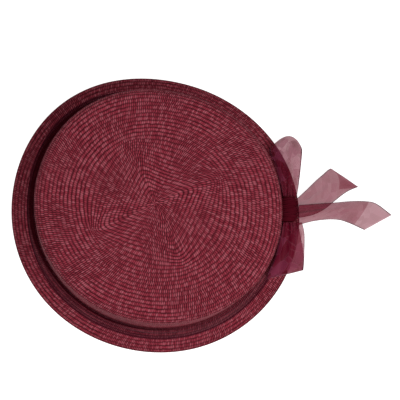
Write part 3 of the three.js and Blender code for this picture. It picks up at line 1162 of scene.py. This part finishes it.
    def band_points(self, along: Array, across: Array) -> Array:
        """The band: once round the foot of the crown, from the brim's slope up the wall.

        Args:
            along: Places round the hat, 0 to 1.
            across: Places from the lower selvedge to the upper one, 0 to 1.

        Returns:
            Points in mm.
        """
        skin = self.form.lifted(self.form.profile(), self.gap + self.thickness / 2)[::-1]
        run = run_along(skin[:, :2].mean(axis=1), skin[:, 2])
        turns, inverse = np.unique(np.round(along, 6), return_inverse=True)
        points = np.zeros((len(along), 3))
        end = self.gap / self.band_face
        for step, turn in enumerate(turns):
            bearing = math.degrees(end + turn * (2.0 * math.pi - 2.0 * end))
            here = inverse == step
            draw = sum(float(swell.at(np.array([bearing]))[0]) for swell in self.band_draws)
            spots = self.band_margin + (1.0 - across[here]) * draw + across[here] * self.width
            rows = rows_at(skin, run, spots)
            points[here] = np.concatenate([self.form.ring(row, np.array([bearing])) for row in rows])
        turned = 2.0 * np.pi * along
        spread = self.ripples_round
        spots = [spread * np.cos(turned), spread * np.sin(turned), self.ripples_across * across]
        wave = wrinkle_at(np.stack(spots, axis=1), seed=4.0)
        near_bow = np.clip(np.cos(turned), 0.0, 1.0) ** 6
        push = (0.5 + 0.5 * wave) * (0.5 + 0.6 * near_bow) * np.sin(np.pi * np.clip(across, 0.03, 0.97))
        out = points[:, :2] / np.linalg.norm(points[:, :2], axis=1)[:, None]
        points[:, :2] += out * push[:, None] * self.band_ripple
        points[:, 2] += self.band_ripple * push
        return points

    def loop_points(
        self, rows: Table, length: float, way: Way, seed: float, along: Array, across: Array
    ) -> Array:
        """A loop of the bow, from the top of the knot round its fold and back below.

        Args:
            rows: Its table of sections.
            length: Its length from the knot's end to its fold.
            way: The side that it stands out to.
            seed: The part of the noise that its crinkles come from.
            along: Places along the ribbon, 0 to 1.
            across: Places from its outer selvedge to its inner one, 0 to 1.

        Returns:
            Points in mm.
        """
        row = read_rows(np.array(rows), along)
        out = row[:, 0] + (row[:, 1] - row[:, 0]) * across
        side = row[:, 2] + (row[:, 3] - row[:, 2]) * across
        bulge = row[:, 5] * self.width * np.sin(np.pi * across**self.bulge_lean)
        points = np.stack(
            [
                self.band_face + out * self.width,
                self.knot_side + way.value * (self.knot_end + side * length + bulge),
                row[:, 4] * self.knot_height + row[:, 6] * self.width * self.pleats(across),
            ],
            axis=1,
        )
        fine = self.crinkles(points, self.loop_grain, seed)
        points[:, 2] += self.loop_crinkle * fine * np.sin(np.pi * np.clip(along, 0.02, 0.98))
        points[:, 2] += self.loop_arch * np.sin(2.0 * np.pi * along) * np.sin(np.pi * across)
        points[:, 2] += self.gathers(np.minimum(along, 1.0 - along), across, self.loop_gathers)
        return points

    def tail_points(
        self, rows: Table, reach: float, arch: float, seed: float, along: Array, across: Array
    ) -> Array:
        """A tail, from the knot down to the surface.

        Args:
            rows: Its table of sections.
            reach: How far it reaches beyond the band's face.
            arch: How high its middle stands above its selvedges, in mm.
            seed: The part of the noise that its crinkles come from.
            along: Places along the ribbon, 0 to 1.
            across: Places from its left selvedge to its right one, 0 to 1.

        Returns:
            Points in mm.
        """
        start = self.knot_face + self.gap
        span = self.band_face + reach - start
        row = read_rows(np.array(rows), along)
        rise = row[:, 4] + (row[:, 5] - row[:, 4]) * across
        points = np.stack(
            [
                start + span * (row[:, 0] + (row[:, 1] - row[:, 0]) * across),
                self.knot_side + self.width * (row[:, 2] + (row[:, 3] - row[:, 2]) * across),
                rise * self.knot_height + row[:, 6] * self.width * self.pleats(across),
            ],
            axis=1,
        )
        fine = self.crinkles(points, self.tail_grain, seed)
        points[:, 2] += self.tail_crinkle * fine * np.minimum(1.0, 8.0 * along)
        points[:, 2] += arch * np.sin(np.pi * along**0.8) * (np.sin(np.pi * across) - 0.35)
        points[:, 2] += self.gathers(along, across, self.tail_gathers)
        return points

    def knot_points(self, along: Array, across: Array) -> Array:
        """The knot: the ribbon gathered to the knot's length and wrapped once round it.

        Args:
            along: Places round the knot, 0 to 1.
            across: Places from one end of the knot to the other, 0 to 1.

        Returns:
            Points in mm.
        """
        turn = 2.0 * np.pi * along
        share = 2.0 * across - 1.0
        waist = 1.0 - self.knot_pinch * np.abs(share) ** 5
        wave = sum(
            depth * np.cos(folds * np.pi * across + sway * np.sin(often * turn + start))
            for depth, folds, sway, often, start in self.knot_pleats
        )
        reach = waist * (1.0 - self.pleat_depth * (1.0 - wave * (1.0 - np.abs(share) ** 6)))
        half = np.array([self.knot_depth / 2, self.knot_tallness / 2])
        slant = 0.03 * np.sin(2.0 * turn) * (1.0 - share**2)
        return np.stack(
            [
                self.knot_face - half[0] + half[0] * reach * np.cos(turn),
                self.knot_side + 0.5 * self.knot_length * (share + slant),
                self.knot_height + half[1] * reach * np.sin(turn),
            ],
            axis=1,
        )

    def pieces(self) -> list[Ribbon]:
        """Cuts the ribbon's stretches and says how each is laid.

        Returns:
            The band, the knot, the two loops and the two tails.
        """
        # The band's pale streaks are a strong painted sheen, and its painted shade follows
        # painted_shade_starts
        band = Organza(
            name="nylon_organza_band",
            thread="#4c2833",
            pale="#96646e",
            cover=0.27,
            streaks=(0.01, 0.45),
            streak_strength=0.9,
            painted_shade_starts=self.painted_shade_starts,
            index=1.0,
        )
        knot = Organza(
            name="nylon_organza_knot",
            thread="#4a0c18",
            pale="#5c1a28",
            selvedge="#4a0c18",
            layers=5.0,
            end_layers=5.0,
            index=1.0,
        )
        upper_loop = Organza(name="nylon_organza_upper_loop", creases=1.0)
        lower_loop = Organza(name="nylon_organza_lower_loop", layers=1.8, end_layers=1.8, creases=0.7)
        upper_tail = Organza(
            name="nylon_organza_upper_tail",
            layers=1.8,
            end_layers=2.5,
            turn=(67.0, 46.0, 59.5),
            bend=26.0,
            creases=0.3,
            hem_at=63.8,
        )
        lower_tail = Organza(
            name="nylon_organza_lower_tail",
            layers=1.95,
            end_layers=1.35,
            turn=(65.0, 66.5, 68.0),
            creases=0.3,
        )
        seeds = (11.0, 23.0, 37.0, 41.0)
        loop_above = partial(self.loop_points, self.upper_loop, self.upper_length, Way.UPPER, seeds[0])
        loop_below = partial(self.loop_points, self.lower_loop, self.lower_length, Way.LOWER, seeds[1])
        tail_above = partial(self.tail_points, self.upper_tail, self.upper_reach, self.upper_arch, seeds[2])
        tail_below = partial(self.tail_points, self.lower_tail, self.lower_reach, self.lower_arch, seeds[3])
        on_hat, on_loop, on_knot = ("hat_body",), ("bow_loop_upper",), ("bow_knot",)
        gathered, folded, draped = Held.GATHERED, Held.FOLDED, Held.DRAPED
        return [
            Ribbon("ribbon_band", "organza_band", self.band_points, self.band_cut, gathered, on_hat, band,
                   steps_along=360, steps_across=24),
            Ribbon("ribbon_knot", "bow_knot", self.knot_points, self.knot_cut, gathered, on_loop, knot,
                   steps_along=96, steps_across=120),
            Ribbon("ribbon_loop_upper", "bow_loop_upper", loop_above, self.upper_loop_cut, folded, on_knot,
                   upper_loop),
            Ribbon("ribbon_loop_lower", "bow_loop_lower", loop_below, self.lower_loop_cut, folded, on_knot,
                   lower_loop),
            Ribbon("ribbon_tail_upper", "bow_tail_upper", tail_above, self.upper_tail_cut, draped, on_knot,
                   upper_tail, flat_share=self.upper_tail_share),
            Ribbon("ribbon_tail_lower", "bow_tail_lower", tail_below, self.lower_tail_cut, draped, on_knot,
                   lower_tail, flat_share=self.lower_tail_share),
        ]


@dataclass(frozen=True)
class PaleFloor:
    """Matt white board in even light, which the photo shows without any shade."""

    name: str = "pale_studio_floor"
    paint: str = "#cecdcd"
    glow: str = "#ffffff"
    glow_strength: float = 0.85
    roughness: float = 0.9
    gloss: float = 0.1

    def material(self) -> bpy.types.Material:
        """Builds the material.

        Returns:
            A matt surface that glows a little, so that it comes out white.
        """
        material, add = new_material(self.name)
        board = {
            "Base Color": to_linear(self.paint),
            "Roughness": self.roughness,
            "Specular IOR Level": self.gloss,
            "Emission Color": to_linear(self.glow),
            "Emission Strength": self.glow_strength,
        }
        add("OutputMaterial", {"Surface": add("BsdfPrincipled", board)})
        return material


@dataclass
class Studio:
    """A pale floor, soft lights and the camera, placed from the crown's axis in mm.

    Attributes:
        axis: The crown's axis.
        eye: Where the camera stands.
        aim: The point that it looks at.
        lens: Its focal length for a 36 mm sensor.
        key_bearing: Where the key light hangs, in degrees round the axis.
        key_height: How high it hangs, in degrees.
        key_distance: How far away, in m.
        key_size: Length of its sides, in m.
        key_power: Its power, in W.
        sky: Strength of the even light from all round.
        floor_size: Length of the floor's sides, in m.
    """

    axis: tuple[float, float]
    eye: tuple[float, float, float] = (-16.464, -48.66, 805.0)
    aim: tuple[float, float, float] = (36.908, 11.792, 0.0)
    lens: float = 87.5
    key_bearing: float = 311.0
    key_height: float = 70.0
    key_distance: float = 0.9
    key_size: float = 0.52
    key_power: float = 5.5
    sky: float = 0.43
    floor_size: float = 6.0

    def build(self) -> None:
        """Sets up the floor, the camera and the lights."""
        self.add_floor()
        self.add_camera()
        self.add_lights()

    def add_camera(self) -> None:
        """Stands the camera almost straight above the crown, tilted out towards the bow."""
        shift = Vector((self.axis[0], self.axis[1], 0.0))
        eye, aim = (Vector(self.eye) + shift) * MM, (Vector(self.aim) + shift) * MM
        back = (eye - aim).normalized()
        right = Vector((0.0, 1.0, 0.0)).cross(back).normalized()
        up = back.cross(right)
        lens = bpy.data.cameras.new("camera")
        lens.lens = self.lens
        lens.sensor_width = 36.0
        camera = bpy.data.objects.new("camera", lens)
        bpy.context.scene.collection.objects.link(camera)
        turn = Matrix((right, up, back)).transposed().to_4x4()
        camera.matrix_world = Matrix.Translation(eye) @ turn
        bpy.context.scene.camera = camera

    def add_floor(self) -> None:
        """Lays a large pale floor under the hat."""
        start_primitive()
        bpy.ops.mesh.primitive_plane_add(size=self.floor_size)
        floor = bpy.context.object
        floor.name = "floor"
        # It throws no white light up under the brim
        floor.visible_diffuse = False
        floor.data.materials.append(PaleFloor().material())

    def add_lights(self) -> None:
        """Hangs one soft key light and an even pale sky."""
        bearing, height = math.radians(self.key_bearing), math.radians(self.key_height)
        away = Vector(
            (math.cos(bearing) * math.cos(height), math.sin(bearing) * math.cos(height), math.sin(height))
        )
        middle = Vector((self.axis[0] * MM, self.axis[1] * MM, 0.0))
        lamp = bpy.data.lights.new("key", "AREA")
        lamp.size = self.key_size
        lamp.energy = self.key_power
        key = bpy.data.objects.new("key", lamp)
        key.location = middle + away * self.key_distance
        key.rotation_euler = away.to_track_quat("Z", "Y").to_euler()
        bpy.context.scene.collection.objects.link(key)
        world = bpy.data.worlds.new("sky")
        bpy.context.scene.world = world
        world.use_nodes = True
        world.node_tree.nodes.clear()
        sky = add_node(world.node_tree, "Background", {"Color": to_linear("#ffffff"), "Strength": self.sky})
        add_node(world.node_tree, "OutputWorld", {"Surface": sky})
        bpy.context.scene.view_settings.view_transform = "Standard"


def crown_axis() -> tuple[float, float]:
    """Finds the crown's axis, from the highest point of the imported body.

    Returns:
        Its place in X and Y, in mm.
    """
    points = points_of(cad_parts["hat_body"].data)
    top = points[points[:, 2].argmax()] / MM
    return float(top[0]), float(top[1])


def main() -> None:
    """Builds the studio, the hat and its bow in order."""
    axis = crown_axis()
    form = HatForm(axis=axis)
    Studio(axis).build()
    pieces = [StrawBody(form).build()]
    pieces += [ribbon.build(form) for ribbon in Bow(form).pieces()]
    for piece in pieces:
        log.info("%s: %d faces", piece.name, len(piece.data.polygons))
    start_primitive()


if __name__ == "__main__":
    logging.basicConfig(level=logging.INFO, format="%(message)s")
    main()
